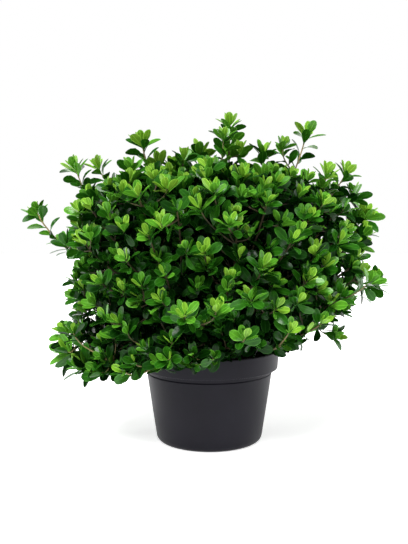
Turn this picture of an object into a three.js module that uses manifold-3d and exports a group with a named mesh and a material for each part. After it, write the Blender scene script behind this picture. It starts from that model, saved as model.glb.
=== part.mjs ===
// An evergreen azalea shrub, out of flower, growing in its round plastic nursery pot.
// One short trunk stands in the potting soil. It forks low down into tapering boughs that fan out
// inside the crown, and each bough carries one mass of twigs that end in rosettes of leaves.
// Units are millimetres, +Z is up, and the origin is the centre of the pot's flat underside.
import * as THREE from "three";
import { mergeVertices } from "three/addons/utils/BufferGeometryUtils.js";
import Module from "manifold-3d";

// Driving sizes of the pot. Radii are of the outside, and the wall is the same thickness all over.
const POT_HEIGHT = 138;
const RIM_RADIUS = 105.5;
const LIP_HEIGHT = 28;
const LIP_STEP = 8;
const FOOT_RADIUS = 72;
const FOOT_ROUNDING = 9;
const POT_DRAFT = 0.148;
const POT_WALL = 2.4;
const POT_FLOOR = 3.4;
const POT_SIDES = 40;
const SEAT_GAP = 0.3;

// Driving sizes of the soil and the trunk.
const SOIL_LEVEL = 121;
const SOIL_EDGE_DROP = 4;
const SOIL_FLAT_RADIUS = 34;
const TRUNK_FLARE = 8;
const TRUNK_RADIUS = 10.5;
const TRUNK_TOP_RADIUS = 9;
const TRUNK_TOP = 169;
const TRUNK_LEAN = 2.4;
const TRUNK_SIDES = 10;

// The heart is the point that the boughs and the masses spread out from.
const HEART = new THREE.Vector3(0, 0, 152);
const BOUGH_REACH = 74;
const BOUGH_ROOTING = 5.6;
const BOUGH_RADIUS = 3.5;
const BOUGH_TIP_RADIUS = 3;
const BOUGH_SIDES = 6;

// The crown's outline is a squarish dome round its middle: half sizes along X, Y, up and down.
const CROWN_MIDDLE = new THREE.Vector3(8, 0, 268);
const CROWN_HALF_WIDTH = 212;
const CROWN_HALF_DEPTH = 206;
const CROWN_RISE = 145;
const CROWN_FALL = 150;
const CROWN_FALL_SLANT = 20;
const CROWN_SQUARENESS = 4.2;

// Each ring of masses: how many, how high its axes point, how far the ring is turned, in degrees,
// and how far above the heart its boughs leave the trunk.
const MASS_RINGS = [
  { place: "low", count: 6, elevation: 3, turn: 20, rise: -11 },
  { place: "middle", count: 6, elevation: 37, turn: 52, rise: -1 },
  { place: "top", count: 4, elevation: 68, turn: 15, rise: 10 },
];
const MASS_GAP = 0.4;

// Twigs and leaves. The crown has far more tips and smaller leaves than these stand for.
const TIP_COUNT = 154;
const LIMB_COUNT = 52;
const STEM_SHARE = 0.46;
const STEM_RADIUS = 3.8;
const STEM_TIP_RADIUS = 3;
const LIMB_RADIUS = 1.5;
const LIMB_TIP_RADIUS = 1.9;
const TWIG_RADIUS = 0.9;
const BUD_RADIUS = 2.6;
const TWIG_SIDES = 3;
const BUD_RINGS = 2;
const TIP_ROOM = 15;
const LEAVES_A_TIP = 6;
const LEAF_SIZES = [1, 0.72];
const LEAF_LENGTH = 66;
const LEAF_WIDTH = 35;
const LEAF_KEEL = 2.4;
const LEAF_DROOP = 5;
const LEAF_STEP = 4;
const LEAF_CROSSING = 0.3;
const UPWARD_LEAN = 0.62;

// Long shoots that stand out of the dome: where each tip points from the heart, and how far out it is.
const LONG_SHOOTS = [
  { azimuth: 181, elevation: 34, reach: 352 },
  { azimuth: 190, elevation: 70, reach: 344 },
  { azimuth: 20, elevation: 84, reach: 374 },
  { azimuth: 12, elevation: 65, reach: 372 },
  { azimuth: -25, elevation: 52, reach: 346 },
  { azimuth: 6, elevation: 37, reach: 332 },
  { azimuth: -8, elevation: 22, reach: 292 },
  { azimuth: 196, elevation: -2, reach: 258 },
  { azimuth: 100, elevation: 46, reach: 336 },
  { azimuth: 72, elevation: 14, reach: 268 },
  { azimuth: 135, elevation: 28, reach: 300 },
];

const wasm = await Module();
wasm.setup();

const UP = new THREE.Vector3(0, 0, 1);
const GOLDEN_ANGLE = Math.PI * (3 - Math.sqrt(5));

const bark = new THREE.MeshStandardMaterial({ color: 0x6b5138, roughness: 0.85, metalness: 0 });
const potPlastic = new THREE.MeshStandardMaterial({ color: 0x3a3a3f, roughness: 0.55, metalness: 0 });
const pottingSoil = new THREE.MeshStandardMaterial({ color: 0x2c2019, roughness: 0.95, metalness: 0 });
const foliage = new THREE.MeshStandardMaterial({ color: 0x3f7a1e, roughness: 0.4, metalness: 0 });

// The same number from 0 to 1 every time for the same index and salt.
function scatter(index, salt) {
  const wave = Math.sin(index * 12.9898 + salt * 78.233) * 43758.5453;
  return wave - Math.floor(wave);
}

function degrees(value) {
  return (value * Math.PI) / 180;
}

function directionOf(azimuth, elevation) {
  const level = Math.cos(elevation);
  return new THREE.Vector3(level * Math.cos(azimuth), level * Math.sin(azimuth), Math.sin(elevation));
}

// A closed geometry as a solid that can be cut and joined.
function solidOf(geometry) {
  const bare = geometry.clone();
  bare.deleteAttribute("normal");
  bare.deleteAttribute("uv");
  const merged = mergeVertices(bare, 1e-4);
  return new wasm.Manifold(
    new wasm.Mesh({
      numProp: 3,
      vertProperties: new Float32Array(merged.attributes.position.array),
      triVerts: new Uint32Array(merged.index.array),
    }),
  );
}

function geometryOf(solid) {
  const mesh = solid.getMesh();
  const positions = new Float32Array(mesh.numVert * 3);
  for (let i = 0; i < mesh.numVert; i++) {
    positions.set(mesh.vertProperties.subarray(i * mesh.numProp, i * mesh.numProp + 3), i * 3);
  }
  const geometry = new THREE.BufferGeometry();
  geometry.setAttribute("position", new THREE.BufferAttribute(positions, 3));
  geometry.setIndex(new THREE.BufferAttribute(mesh.triVerts.slice(), 1));
  geometry.computeVertexNormals();
  return geometry;
}

function named(name, geometry, material) {
  const mesh = new THREE.Mesh(geometry, material);
  mesh.name = name;
  return mesh;
}

// A tapering limb along a curve: a ring of corners at each share of its length, closed by flat ends.
// radiusAt gives each ring's radius, and waveAt may vary it round the ring.
function limbMesh(curve, shares, sides, radiusAt, waveAt = () => 1) {
  const corners = [];
  const faces = [];
  const side = Math.abs(curve.getTangent(0).z) > 0.9 ? new THREE.Vector3(1, 0, 0) : UP.clone();
  for (const share of shares) {
    const centre = curve.getPointAt(share);
    const tangent = curve.getTangentAt(share);
    side.addScaledVector(tangent, -side.dot(tangent)).normalize();
    const other = new THREE.Vector3().crossVectors(tangent, side);
    for (let j = 0; j < sides; j++) {
      const angle = (j / sides) * 2 * Math.PI;
      const radius = radiusAt(share) * waveAt(share, angle);
      const spoke = side.clone().multiplyScalar(Math.cos(angle)).addScaledVector(other, Math.sin(angle));
      corners.push(centre.clone().addScaledVector(spoke, radius));
    }
  }
  const last = (shares.length - 1) * sides;
  for (let i = 0; i < last; i += sides) {
    for (let j = 0; j < sides; j++) {
      const [a, b] = [i + j, i + ((j + 1) % sides)];
      faces.push([a, b, b + sides], [a, b + sides, a + sides]);
    }
  }
  for (let j = 1; j < sides - 1; j++) {
    faces.push([0, j + 1, j], [last, last + j, last + j + 1]);
  }
  return { corners, faces };
}

function evenShares(rings) {
  return Array.from({ length: rings + 1 }, (unused, i) => i / rings);
}

function meshGeometry({ corners, faces }) {
  const geometry = new THREE.BufferGeometry();
  const numbers = corners.flatMap((p) => p.toArray());
  geometry.setAttribute("position", new THREE.Float32BufferAttribute(numbers, 3));
  geometry.setIndex(faces.flat());
  return geometry;
}

// The pot: a moulded wall that tapers to the foot and steps out under the lip.
const ledge = POT_HEIGHT - LIP_HEIGHT;
const footTopRadius = FOOT_RADIUS + FOOT_ROUNDING;
const wallTopRadius = footTopRadius + (ledge - FOOT_ROUNDING) * POT_DRAFT;
const lipRadius = wallTopRadius + LIP_STEP;
const soilGap = POT_WALL + SEAT_GAP;

function potGeometry() {
  const wallFoot = footTopRadius - POT_WALL;
  const outline = new THREE.Path();
  outline.moveTo(0, 0);
  outline.lineTo(FOOT_RADIUS, 0);
  outline.quadraticCurveTo(footTopRadius - 1, 1, footTopRadius, FOOT_ROUNDING);
  outline.lineTo(wallTopRadius, ledge - 1.5);
  outline.lineTo(lipRadius - 1, ledge);
  outline.lineTo(lipRadius, ledge + 1);
  outline.lineTo(RIM_RADIUS, POT_HEIGHT - 1.2);
  outline.lineTo(RIM_RADIUS - 1.2, POT_HEIGHT);
  outline.lineTo(RIM_RADIUS - POT_WALL - 1, POT_HEIGHT);
  outline.lineTo(lipRadius - POT_WALL, ledge + 3.5);
  outline.lineTo(wallTopRadius - POT_WALL, ledge + 2);
  outline.lineTo(wallFoot, FOOT_ROUNDING + 1);
  outline.lineTo(FOOT_RADIUS - POT_WALL, POT_FLOOR);
  outline.lineTo(0, POT_FLOOR);
  return new THREE.LatheGeometry(outline.getPoints(3), POT_SIDES);
}

// The soil fills the pot to a little below its rim, and falls away slightly towards the wall.
function soilGeometry() {
  const foot = FOOT_RADIUS - soilGap - 1;
  const profile = [
    new THREE.Vector2(0, POT_FLOOR + SEAT_GAP),
    new THREE.Vector2(foot, POT_FLOOR + SEAT_GAP),
    new THREE.Vector2(footTopRadius - soilGap - 0.5, FOOT_ROUNDING + 1.5),
    new THREE.Vector2(wallTopRadius - soilGap - 0.4, ledge + 2),
    new THREE.Vector2(wallTopRadius - soilGap - 0.2, ledge + 2.5),
    new THREE.Vector2(lipRadius - soilGap - 0.8, ledge + 4),
    new THREE.Vector2(lipRadius - soilGap - 0.4, SOIL_LEVEL - SOIL_EDGE_DROP),
    new THREE.Vector2(SOIL_FLAT_RADIUS, SOIL_LEVEL),
    new THREE.Vector2(0, SOIL_LEVEL),
  ];
  return new THREE.LatheGeometry(profile, POT_SIDES);
}

// The trunk: flat at the soil, flared by five roots that run into it, then tapering and leaning.
function trunkGeometry(extra = 0) {
  const foot = SOIL_LEVEL + SEAT_GAP - extra;
  const curve = new THREE.QuadraticBezierCurve3(
    new THREE.Vector3(0, 0, foot),
    new THREE.Vector3(0, 0, (foot + TRUNK_TOP) / 2),
    new THREE.Vector3(TRUNK_LEAN, -TRUNK_LEAN / 2, TRUNK_TOP + extra),
  );
  const flareAt = (share) => TRUNK_FLARE * Math.pow(1 - share, 6);
  const taperAt = (share) => THREE.MathUtils.lerp(TRUNK_RADIUS, TRUNK_TOP_RADIUS, share);
  const rootWave = (share, angle) => 1 + 0.16 * Math.pow(1 - share, 4) * Math.cos(5 * angle);
  const radiusAt = (share) => taperAt(share) + flareAt(share) + extra;
  return meshGeometry(limbMesh(curve, evenShares(7), TRUNK_SIDES, radiusAt, rootWave));
}

// The crown's surface in the direction that a ray leaves its middle.
function crownPoint(direction, scale) {
  const level = Math.hypot(direction.x / CROWN_HALF_WIDTH, direction.y / CROWN_HALF_DEPTH);
  const fall = CROWN_FALL - CROWN_FALL_SLANT * direction.x;
  const rise = Math.abs(direction.z) / (direction.z > 0 ? CROWN_RISE : fall);
  const sum = Math.pow(level, CROWN_SQUARENESS) + Math.pow(rise, CROWN_SQUARENESS);
  const size = Math.pow(sum, -1 / CROWN_SQUARENESS);
  return CROWN_MIDDLE.clone().addScaledVector(direction, size * scale);
}

// One direction of an even spiral over the sphere.
function spiralDirection(index, count) {
  const height = 1 - (2 * (index + 0.5)) / count;
  const azimuth = index * GOLDEN_ANGLE;
  const level = Math.sqrt(1 - height * height);
  return new THREE.Vector3(level * Math.cos(azimuth), level * Math.sin(azimuth), height);
}

// A point is clear of the pot when it is above the rim or well outside the lip.
function clearOfPot(point, margin) {
  return point.z > POT_HEIGHT + margin || Math.hypot(point.x, point.y) > RIM_RADIUS + margin;
}

const massAxes = MASS_RINGS.flatMap((ring) =>
  Array.from({ length: ring.count }, (unused, i) => ({
    name: `${ring.place}_${i + 1}`,
    rise: ring.rise,
    direction: directionOf(degrees(ring.turn + (360 * i) / ring.count), degrees(ring.elevation)),
  })),
);

// How far inside its own space a point is: less than zero lies in a neighbour's space.
function clearanceIn(mass, point) {
  const out = point.clone().sub(HEART);
  let least = Infinity;
  for (const other of massAxes) {
    if (other === mass) continue;
    const wall = mass.direction.clone().sub(other.direction).normalize();
    least = Math.min(least, wall.dot(out));
  }
  return least;
}

function massHolding(point) {
  const out = point.clone().sub(HEART);
  return massAxes.reduce((best, mass) => (mass.direction.dot(out) > best.direction.dot(out) ? mass : best));
}

// Every tip: where it is, the way its rosette faces, and the mass that holds it.
function allTips() {
  const tips = [];
  for (let i = 0; i < TIP_COUNT; i++) {
    const direction = spiralDirection(i, TIP_COUNT);
    const point = crownPoint(direction, 0.86 + 0.12 * scatter(i, 1));
    if (clearOfPot(point, 22)) tips.push({ point, direction });
  }
  for (const shoot of LONG_SHOOTS) {
    const direction = directionOf(degrees(shoot.azimuth), degrees(shoot.elevation));
    tips.push({ point: HEART.clone().addScaledVector(direction, shoot.reach - LEAF_LENGTH), direction });
  }
  for (const tip of tips) {
    tip.facing = tip.direction.clone().addScaledVector(UP, UPWARD_LEAN).normalize();
    tip.mass = massHolding(tip.point);
    tip.limb = nearestLimb(tip.point);
    drawIn(tip);
  }
  return tips;
}

// A tip close to a neighbour's space moves towards its own mass's axis, so that its leaves have room.
function drawIn(tip) {
  const out = tip.point.clone().sub(HEART);
  const onAxis = HEART.clone().addScaledVector(tip.mass.direction, out.dot(tip.mass.direction));
  const shortfall = Math.max(0, TIP_ROOM - clearanceIn(tip.mass, tip.point));
  tip.point.lerp(onAxis, shortfall / Math.max(onAxis.distanceTo(tip.point), TIP_ROOM));
}

// The limb that a tip hangs on: the nearest direction of a coarser spiral.
function nearestLimb(point) {
  const out = point.clone().sub(CROWN_MIDDLE).normalize();
  let best = 0;
  for (let i = 1; i < LIMB_COUNT; i++) {
    if (spiralDirection(i, LIMB_COUNT).dot(out) > spiralDirection(best, LIMB_COUNT).dot(out)) best = i;
  }
  return best;
}

function middleOf(points) {
  return points.reduce((sum, p) => sum.add(p), new THREE.Vector3()).divideScalar(points.length);
}

// Where a side growth leaves its parent: back from the nearest point, so that it runs outwards.
function forkOn(parent, target) {
  const steps = 12;
  let best = 0;
  for (let i = 1; i <= steps; i++) {
    const gap = parent.getPoint(i / steps).distanceTo(target);
    if (gap < parent.getPoint(best / steps).distanceTo(target)) best = i;
  }
  const away = parent.getPoint(best / steps).distanceTo(target);
  const share = THREE.MathUtils.clamp(best / steps - (0.5 * away) / parent.getLength(), 0.2, 0.92);
  return parent.getPoint(share);
}

// A growth that arrives at its end along the given direction.
function growth(start, end, arriving, bend) {
  const reach = start.distanceTo(end) * bend;
  return new THREE.QuadraticBezierCurve3(start, end.clone().addScaledVector(arriving, -reach), end);
}

// A bough: it starts inside the trunk, sweeps out to its mass's axis and is cut clear of the trunk.
function boughGeometry(mass) {
  const level = mass.direction.clone().setZ(0).normalize();
  const start = HEART.clone().addScaledVector(level, BOUGH_ROOTING).addScaledVector(UP, mass.rise);
  const tip = HEART.clone().addScaledVector(mass.direction, BOUGH_REACH);
  const curve = growth(start, tip, mass.direction, 0.55);
  const radiusAt = (share) => THREE.MathUtils.lerp(BOUGH_RADIUS, BOUGH_TIP_RADIUS, share);
  const bough = solidOf(meshGeometry(limbMesh(curve, evenShares(4), BOUGH_SIDES, radiusAt)));
  return geometryOf(bough.subtract(solidOf(trunkGeometry(SEAT_GAP))));
}

// A leaf that is drawn out of one side face of a twig. It widens to a flat triangle with a keel under
// it, then narrows to its drooping tip.
function leafOn(twig, face, facing, spread, size) {
  const root = twig.faces[face].map((corner) => twig.corners[corner]);
  const start = middleOf(root);
  const edges = [root[1].clone().sub(root[0]), root[2].clone().sub(root[0])];
  const normal = new THREE.Vector3().crossVectors(edges[0], edges[1]);
  const outward = normal.addScaledVector(facing, -normal.dot(facing)).normalize();
  const along = facing.clone().multiplyScalar(Math.cos(spread)).addScaledVector(outward, Math.sin(spread));
  const upper = facing.clone().addScaledVector(along, -facing.dot(along)).normalize();
  const across = new THREE.Vector3().crossVectors(along, upper).multiplyScalar(LEAF_WIDTH * size * 0.5);
  const widest = start.clone().addScaledVector(along, LEAF_LENGTH * size * 0.58);
  const tip = start.clone().addScaledVector(along, LEAF_LENGTH * size);
  tip.addScaledVector(upper, -LEAF_DROOP * size);
  const keel = widest.clone().addScaledVector(upper, -LEAF_KEEL);
  const section = [widest.clone().add(across), keel, widest.clone().sub(across)];
  const agreement = (corner, k) => corner.clone().sub(start).dot(section[k % 3].clone().sub(widest));
  const untwisted = (shift) => root.reduce((sum, corner, k) => sum + agreement(corner, k + shift), 0);
  const shift = [0, 1, 2].reduce((best, turn) => (untwisted(turn) > untwisted(best) ? turn : best));
  const body = wasm.Manifold.hull([...root, ...section, tip].map((point) => point.toArray()));
  return { face, root, section: [0, 1, 2].map((k) => section[(k + shift) % 3]), tip, body };
}

// A leaf fits where it stays in its mass's space and cuts through no earlier leaf.
function fits(mass, leaf, leaves) {
  const outline = [...leaf.section, leaf.tip, middleOf([leaf.tip, leaf.root[0]])];
  if (!outline.every((point) => keepsIn(mass, point))) return false;
  return leaves.every((earlier) => earlier.intersect(leaf.body).volume() < LEAF_CROSSING);
}

function sprout(twig, leaf) {
  const root = twig.faces[leaf.face];
  const first = twig.corners.length;
  const tip = first + 3;
  twig.corners.push(...leaf.section, leaf.tip);
  const made = [0, 1, 2].flatMap((k) => {
    const next = (k + 1) % 3;
    return [
      [root[k], root[next], first + next],
      [root[k], first + next, first + k],
      [first + k, first + next, tip],
    ];
  });
  twig.faces.splice(leaf.face, 1, made[0]);
  twig.faces.push(...made.slice(1));
}

// A point keeps to the mass's space when it is clear of the neighbours, the bough's reach and the pot.
function keepsIn(mass, point) {
  return (
    clearanceIn(mass, point) > MASS_GAP &&
    point.distanceTo(HEART) > BOUGH_REACH + 6 &&
    clearOfPot(point, 4) &&
    point.z > CROWN_MIDDLE.z - CROWN_FALL - 2 * CROWN_FALL_SLANT
  );
}

function keepsCurveIn(mass, curve, margin) {
  return [0.25, 0.5, 0.75, 1].every((share) => {
    const point = curve.getPoint(share);
    return clearanceIn(mass, point) > margin && clearOfPot(point, 6);
  });
}

// One mass: its stem, the limbs on it, the twigs on them and the leaves round each twig's tip.
function massGeometry(mass, tips) {
  const solids = [];
  const leaves = [];
  const addLimb = (curve, thick, thin) => {
    const radiusAt = (share) => THREE.MathUtils.lerp(thick, thin, share);
    solids.push(solidOf(meshGeometry(limbMesh(curve, evenShares(1), TWIG_SIDES, radiusAt))));
  };
  const stemStart = HEART.clone().addScaledVector(mass.direction, BOUGH_REACH + SEAT_GAP);
  const stemLength = (middleOf(tips.map((tip) => tip.point)).distanceTo(HEART) - BOUGH_REACH) * STEM_SHARE;
  const stemEnd = stemStart.clone().addScaledVector(mass.direction, stemLength);
  const stem = new THREE.LineCurve3(stemStart, stemEnd);
  addLimb(stem, STEM_RADIUS, STEM_TIP_RADIUS);

  for (const group of tipsByLimb(tips)) {
    const middle = middleOf(group.map((tip) => tip.point));
    const start = forkOn(stem, middle);
    const limb = new THREE.LineCurve3(start, start.clone().lerp(middle, group.length > 1 ? 0.5 : 0.4));
    addLimb(limb, LIMB_RADIUS, LIMB_TIP_RADIUS);
    for (const tip of group) {
      const fork = forkOn(limb, tip.point);
      const choices = [growth(fork, tip.point, tip.facing, 0.4), new THREE.LineCurve3(fork, tip.point)];
      const curve = choices.find((choice) => keepsCurveIn(mass, choice, BUD_RADIUS + MASS_GAP));
      if (curve) solids.push(leafyTwig(mass, tip, curve, leaves));
    }
  }
  return geometryOf(largestBody(wasm.Manifold.union(solids)));
}

// A twig that swells to its bud, with leaves spiralling down from the bud: the upper ones stand up and
// the lower ones spread. A place where a leaf would leave the mass's space, or cut through another
// leaf, is passed over.
function leafyTwig(mass, tip, curve, leaves) {
  const length = curve.getLength();
  const ringShare = (ring) => 1 - ((BUD_RINGS - ring) * LEAF_STEP) / length;
  const budShares = Array.from({ length: BUD_RINGS + 1 }, (unused, i) => ringShare(i));
  const radiusAt = (share) => (share >= budShares[0] ? BUD_RADIUS : TWIG_RADIUS * (1 + share));
  const twig = limbMesh(curve, [0, 0.5, ...budShares], TWIG_SIDES, radiusAt);
  const facing = curve.getTangent(1).normalize();
  const sideFaces = 2 * TWIG_SIDES * (BUD_RINGS + 1 + 1);
  const turn = Math.floor(scatter(tip.point.x, 3) * TWIG_SIDES);
  let placed = 0;
  for (let ring = 0; ring < BUD_RINGS; ring++) {
    for (let i = 0; i < 2 * TWIG_SIDES && placed < LEAVES_A_TIP; i++) {
      const quad = (turn + i) % TWIG_SIDES;
      const face = sideFaces - 2 * TWIG_SIDES * (ring + 1) + 2 * quad + (i < TWIG_SIDES ? 0 : 1);
      const spread = degrees(36 + 30 * ring + 8 * scatter(tip.point.y, i) + (i < TWIG_SIDES ? 0 : 14));
      const full = 0.86 + 0.1 * ring + 0.12 * scatter(tip.point.z, i);
      const choices = LEAF_SIZES.map((size) => leafOn(twig, face, facing, spread, full * size));
      const leaf = choices.find((choice) => fits(mass, choice, leaves));
      if (!leaf) continue;
      sprout(twig, leaf);
      leaves.push(leaf.body);
      placed += 1;
    }
  }
  return solidOf(meshGeometry(twig));
}

function tipsByLimb(tips) {
  const groups = new Map();
  for (const tip of tips) groups.set(tip.limb, [...(groups.get(tip.limb) ?? []), tip]);
  return groups.values();
}

// The joined growth without any loose scrap, or any pocket closed in where leaves cross.
function largestBody(solid) {
  return solid.decompose().reduce((best, body) => (body.volume() > best.volume() ? body : best));
}

const shrub = new THREE.Group();
const pot = named("pot", potGeometry(), potPlastic);
const soil = named("soil", soilGeometry(), pottingSoil);
for (const turned of [pot, soil]) turned.rotation.x = Math.PI / 2;
shrub.add(pot, soil, named("trunk", trunkGeometry(), bark));

const tips = allTips();
for (const mass of massAxes) {
  const held = tips.filter((tip) => tip.mass === mass);
  shrub.add(named(`bough_${mass.name}`, boughGeometry(mass), bark));
  shrub.add(named(`foliage_${mass.name}`, massGeometry(mass, held), foliage));
}

export default shrub;
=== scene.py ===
# A potted evergreen azalea, out of flower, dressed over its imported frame. Sizes are in metres.
import math

import bmesh
import bpy
from mathutils import Matrix, Vector, noise


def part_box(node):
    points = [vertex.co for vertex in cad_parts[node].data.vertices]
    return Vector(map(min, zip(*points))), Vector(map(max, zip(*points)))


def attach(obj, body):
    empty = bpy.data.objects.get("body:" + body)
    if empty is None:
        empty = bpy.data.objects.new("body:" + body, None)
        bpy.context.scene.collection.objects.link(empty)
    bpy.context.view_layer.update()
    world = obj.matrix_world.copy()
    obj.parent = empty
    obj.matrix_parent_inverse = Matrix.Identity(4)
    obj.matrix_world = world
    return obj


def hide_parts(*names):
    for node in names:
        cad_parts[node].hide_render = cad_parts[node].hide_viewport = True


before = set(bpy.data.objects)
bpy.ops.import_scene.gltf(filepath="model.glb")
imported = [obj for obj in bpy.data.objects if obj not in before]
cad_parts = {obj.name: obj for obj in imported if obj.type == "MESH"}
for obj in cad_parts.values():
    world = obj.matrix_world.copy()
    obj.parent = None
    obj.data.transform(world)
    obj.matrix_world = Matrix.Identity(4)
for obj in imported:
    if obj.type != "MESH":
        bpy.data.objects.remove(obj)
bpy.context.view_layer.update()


# The pot
# A round nursery pot, moulded in one piece from charcoal polypropylene a little over 2 mm thick. It
# tapers to a rounded foot, and a groove runs round it under the deep lip that stiffens its mouth.
pot_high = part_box("pot")[1]
rim_radius = pot_high.x
pot_height = pot_high.z
lip_height = 0.028
lip_flare = 0.0023
lip_radius = rim_radius - lip_flare
ledge_width = 0.008
ledge_height = pot_height - lip_height
shoulder_radius = lip_radius - ledge_width
wall_draft = 0.148
foot_radius = shoulder_radius - ledge_height * wall_draft
foot_fillet = 0.0085
groove_height = 0.0065
groove_depth = 0.0014
groove_bevel = 0.0012
groove_undercut = 0.0008
groove_foot = ledge_height - groove_height
groove_radius = shoulder_radius - groove_depth
wall_top_radius = shoulder_radius - groove_height * wall_draft
pot_wall = 0.0024
pot_floor = 0.0034
rim_bead = 0.001
inner_step_foot = 0.002
inner_step_top = 0.0035
inner_flare = 0.0014
inner_corner_height = 0.01
inner_corner_width = 0.008
wall_top_fillet = 0.0006
groove_fillet = 0.0004
ledge_fillet = 0.0012
lip_fillet = 0.0016
rim_fillet = 0.0014
inner_fillet = 0.001
inner_foot_fillet = 0.004
pot_floor_fillet = 0.002
pot_sides = 144
hairbreadth = 1e-6


def bent(start, control, end, steps):
    """Points of a curve that leaves start towards a control point and comes to end from it."""
    shares = [k / steps for k in range(steps + 1)]
    return [start * (1 - t) ** 2 + control * 2 * t * (1 - t) + end * t**2 for t in shares]


def filleted(outline, steps=5, most_of_side=0.48):
    """An outline of (radius, height, fillet) corners with each corner rounded by its own fillet."""
    smooth = []
    for i, (r, z, fillet) in enumerate(outline):
        corner = Vector((r, z))
        if fillet == 0:
            smooth.append(corner)
            continue
        before = Vector(outline[i - 1][:2]) - corner
        after = Vector(outline[i + 1][:2]) - corner
        start = corner + before.normalized() * min(fillet, before.length * most_of_side)
        end = corner + after.normalized() * min(fillet, after.length * most_of_side)
        smooth.extend(bent(start, corner, end, steps))
    return smooth


def mesh_of(shape, name):
    """The mesh of a finished bmesh, which is then freed."""
    mesh = bpy.data.meshes.new(name)
    shape.to_mesh(mesh)
    shape.free()
    return mesh


def placed(name, data):
    """A new object in the scene, at the origin."""
    thing = bpy.data.objects.new(name, data)
    bpy.context.collection.objects.link(thing)
    return thing


def join_rings(shape, rings):
    """Faces from each ring of corners to the next. At a point, a ring is one corner repeated."""
    for lower, upper in zip(rings, rings[1:]):
        for j in range(len(lower)):
            k = (j + 1) % len(lower)
            corners = (lower[j], lower[k], upper[k], upper[j])
            shape.faces.new(list(dict.fromkeys(corners)))


def turned(name, outline, sides):
    """A closed shape turned round the Z axis. The outline starts and ends on the axis."""
    shape = bmesh.new()
    turns = [2 * math.pi * j / sides for j in range(sides)]
    rings = []
    for r, z in outline:
        if r < hairbreadth:
            rings.append([shape.verts.new((0, 0, z))] * sides)
        else:
            rings.append([shape.verts.new((r * math.cos(a), r * math.sin(a), z)) for a in turns])
    join_rings(shape, rings)
    bmesh.ops.recalc_face_normals(shape, faces=shape.faces)
    piece = placed(name, mesh_of(shape, name))
    piece.data.shade_smooth()
    return piece


pot_outline = [
    (0, 0, 0),
    (foot_radius, 0, foot_fillet),
    (wall_top_radius, groove_foot - groove_bevel, wall_top_fillet),
    (groove_radius - groove_undercut, groove_foot, groove_fillet),
    (groove_radius, ledge_height, ledge_fillet),
    (lip_radius, ledge_height, lip_fillet),
    (rim_radius, pot_height, rim_fillet),
    (rim_radius - pot_wall - rim_bead, pot_height, inner_fillet),
    (lip_radius - pot_wall, ledge_height + inner_step_top, inner_fillet),
    (shoulder_radius - pot_wall, ledge_height + inner_step_foot, inner_fillet),
    (foot_radius - pot_wall + inner_flare, inner_corner_height, inner_foot_fillet),
    (foot_radius - pot_wall - inner_corner_width, pot_floor, pot_floor_fillet),
    (0, pot_floor, 0),
]
pot = turned("moulded_pot", filleted(pot_outline), pot_sides)


def shader_group(name, inputs, outputs):
    """A shader node group with named sockets of the given kinds, and its input and output nodes."""
    group = bpy.data.node_groups.new(name, "ShaderNodeTree")
    for in_out, sockets in (("INPUT", inputs), ("OUTPUT", outputs)):
        for socket, kind in sockets.items():
            group.interface.new_socket(socket, in_out=in_out, socket_type="NodeSocket" + kind)
    return group, group.nodes.new("NodeGroupInput"), group.nodes.new("NodeGroupOutput")


def wired(tree, links):
    """Joins the sockets of a tree. Each link is a node and its output, then a node and its input."""
    for source, output, target, socket in links:
        tree.links.new(source.outputs[output], target.inputs[socket])


def preset(node, values):
    """Gives inputs of a node the values that they have when nothing is joined to them."""
    for socket, value in values.items():
        node.inputs[socket].default_value = value


def mottle_group():
    """Colour, roughness and height that wander over a surface, in large patches and a fine grain."""
    inputs = {"Vector": "Vector"}
    inputs.update({"Patch Scale": "Float", "Grain Scale": "Float", "Grain Share": "Float"})
    inputs.update({"Dark": "Color", "Light": "Color", "Smoothest": "Float", "Roughest": "Float"})
    outputs = {"Color": "Color", "Roughness": "Float", "Height": "Float"}
    group, given, made = shader_group("Mottle", inputs, outputs)
    nodes = group.nodes
    patch = nodes.new("ShaderNodeTexNoise")
    grain = nodes.new("ShaderNodeTexNoise")
    blend = nodes.new("ShaderNodeMix")
    spread = nodes.new("ShaderNodeMapRange")
    tint = nodes.new("ShaderNodeMix")
    rough = nodes.new("ShaderNodeMapRange")
    preset(patch, {"Detail": 4})
    preset(grain, {"Detail": 6})
    preset(spread, {"From Min": 0.32, "From Max": 0.68})
    tint.data_type = "RGBA"
    links = [
        (given, "Vector", patch, "Vector"),
        (given, "Vector", grain, "Vector"),
        (given, "Patch Scale", patch, "Scale"),
        (given, "Grain Scale", grain, "Scale"),
        (given, "Grain Share", blend, "Factor"),
        (patch, "Fac", blend, "A"),
        (grain, "Fac", blend, "B"),
        (blend, "Result", spread, "Value"),
        (spread, "Result", tint, "Factor"),
        (given, "Dark", tint, "A"),
        (given, "Light", tint, "B"),
        (spread, "Result", rough, "Value"),
        (given, "Smoothest", rough, "To Min"),
        (given, "Roughest", rough, "To Max"),
        (tint, "Result", made, "Color"),
        (rough, "Result", made, "Roughness"),
        (grain, "Fac", made, "Height"),
    ]
    wired(group, links)
    return group


mottle = mottle_group()
grain_relief = 0.0006


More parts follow.
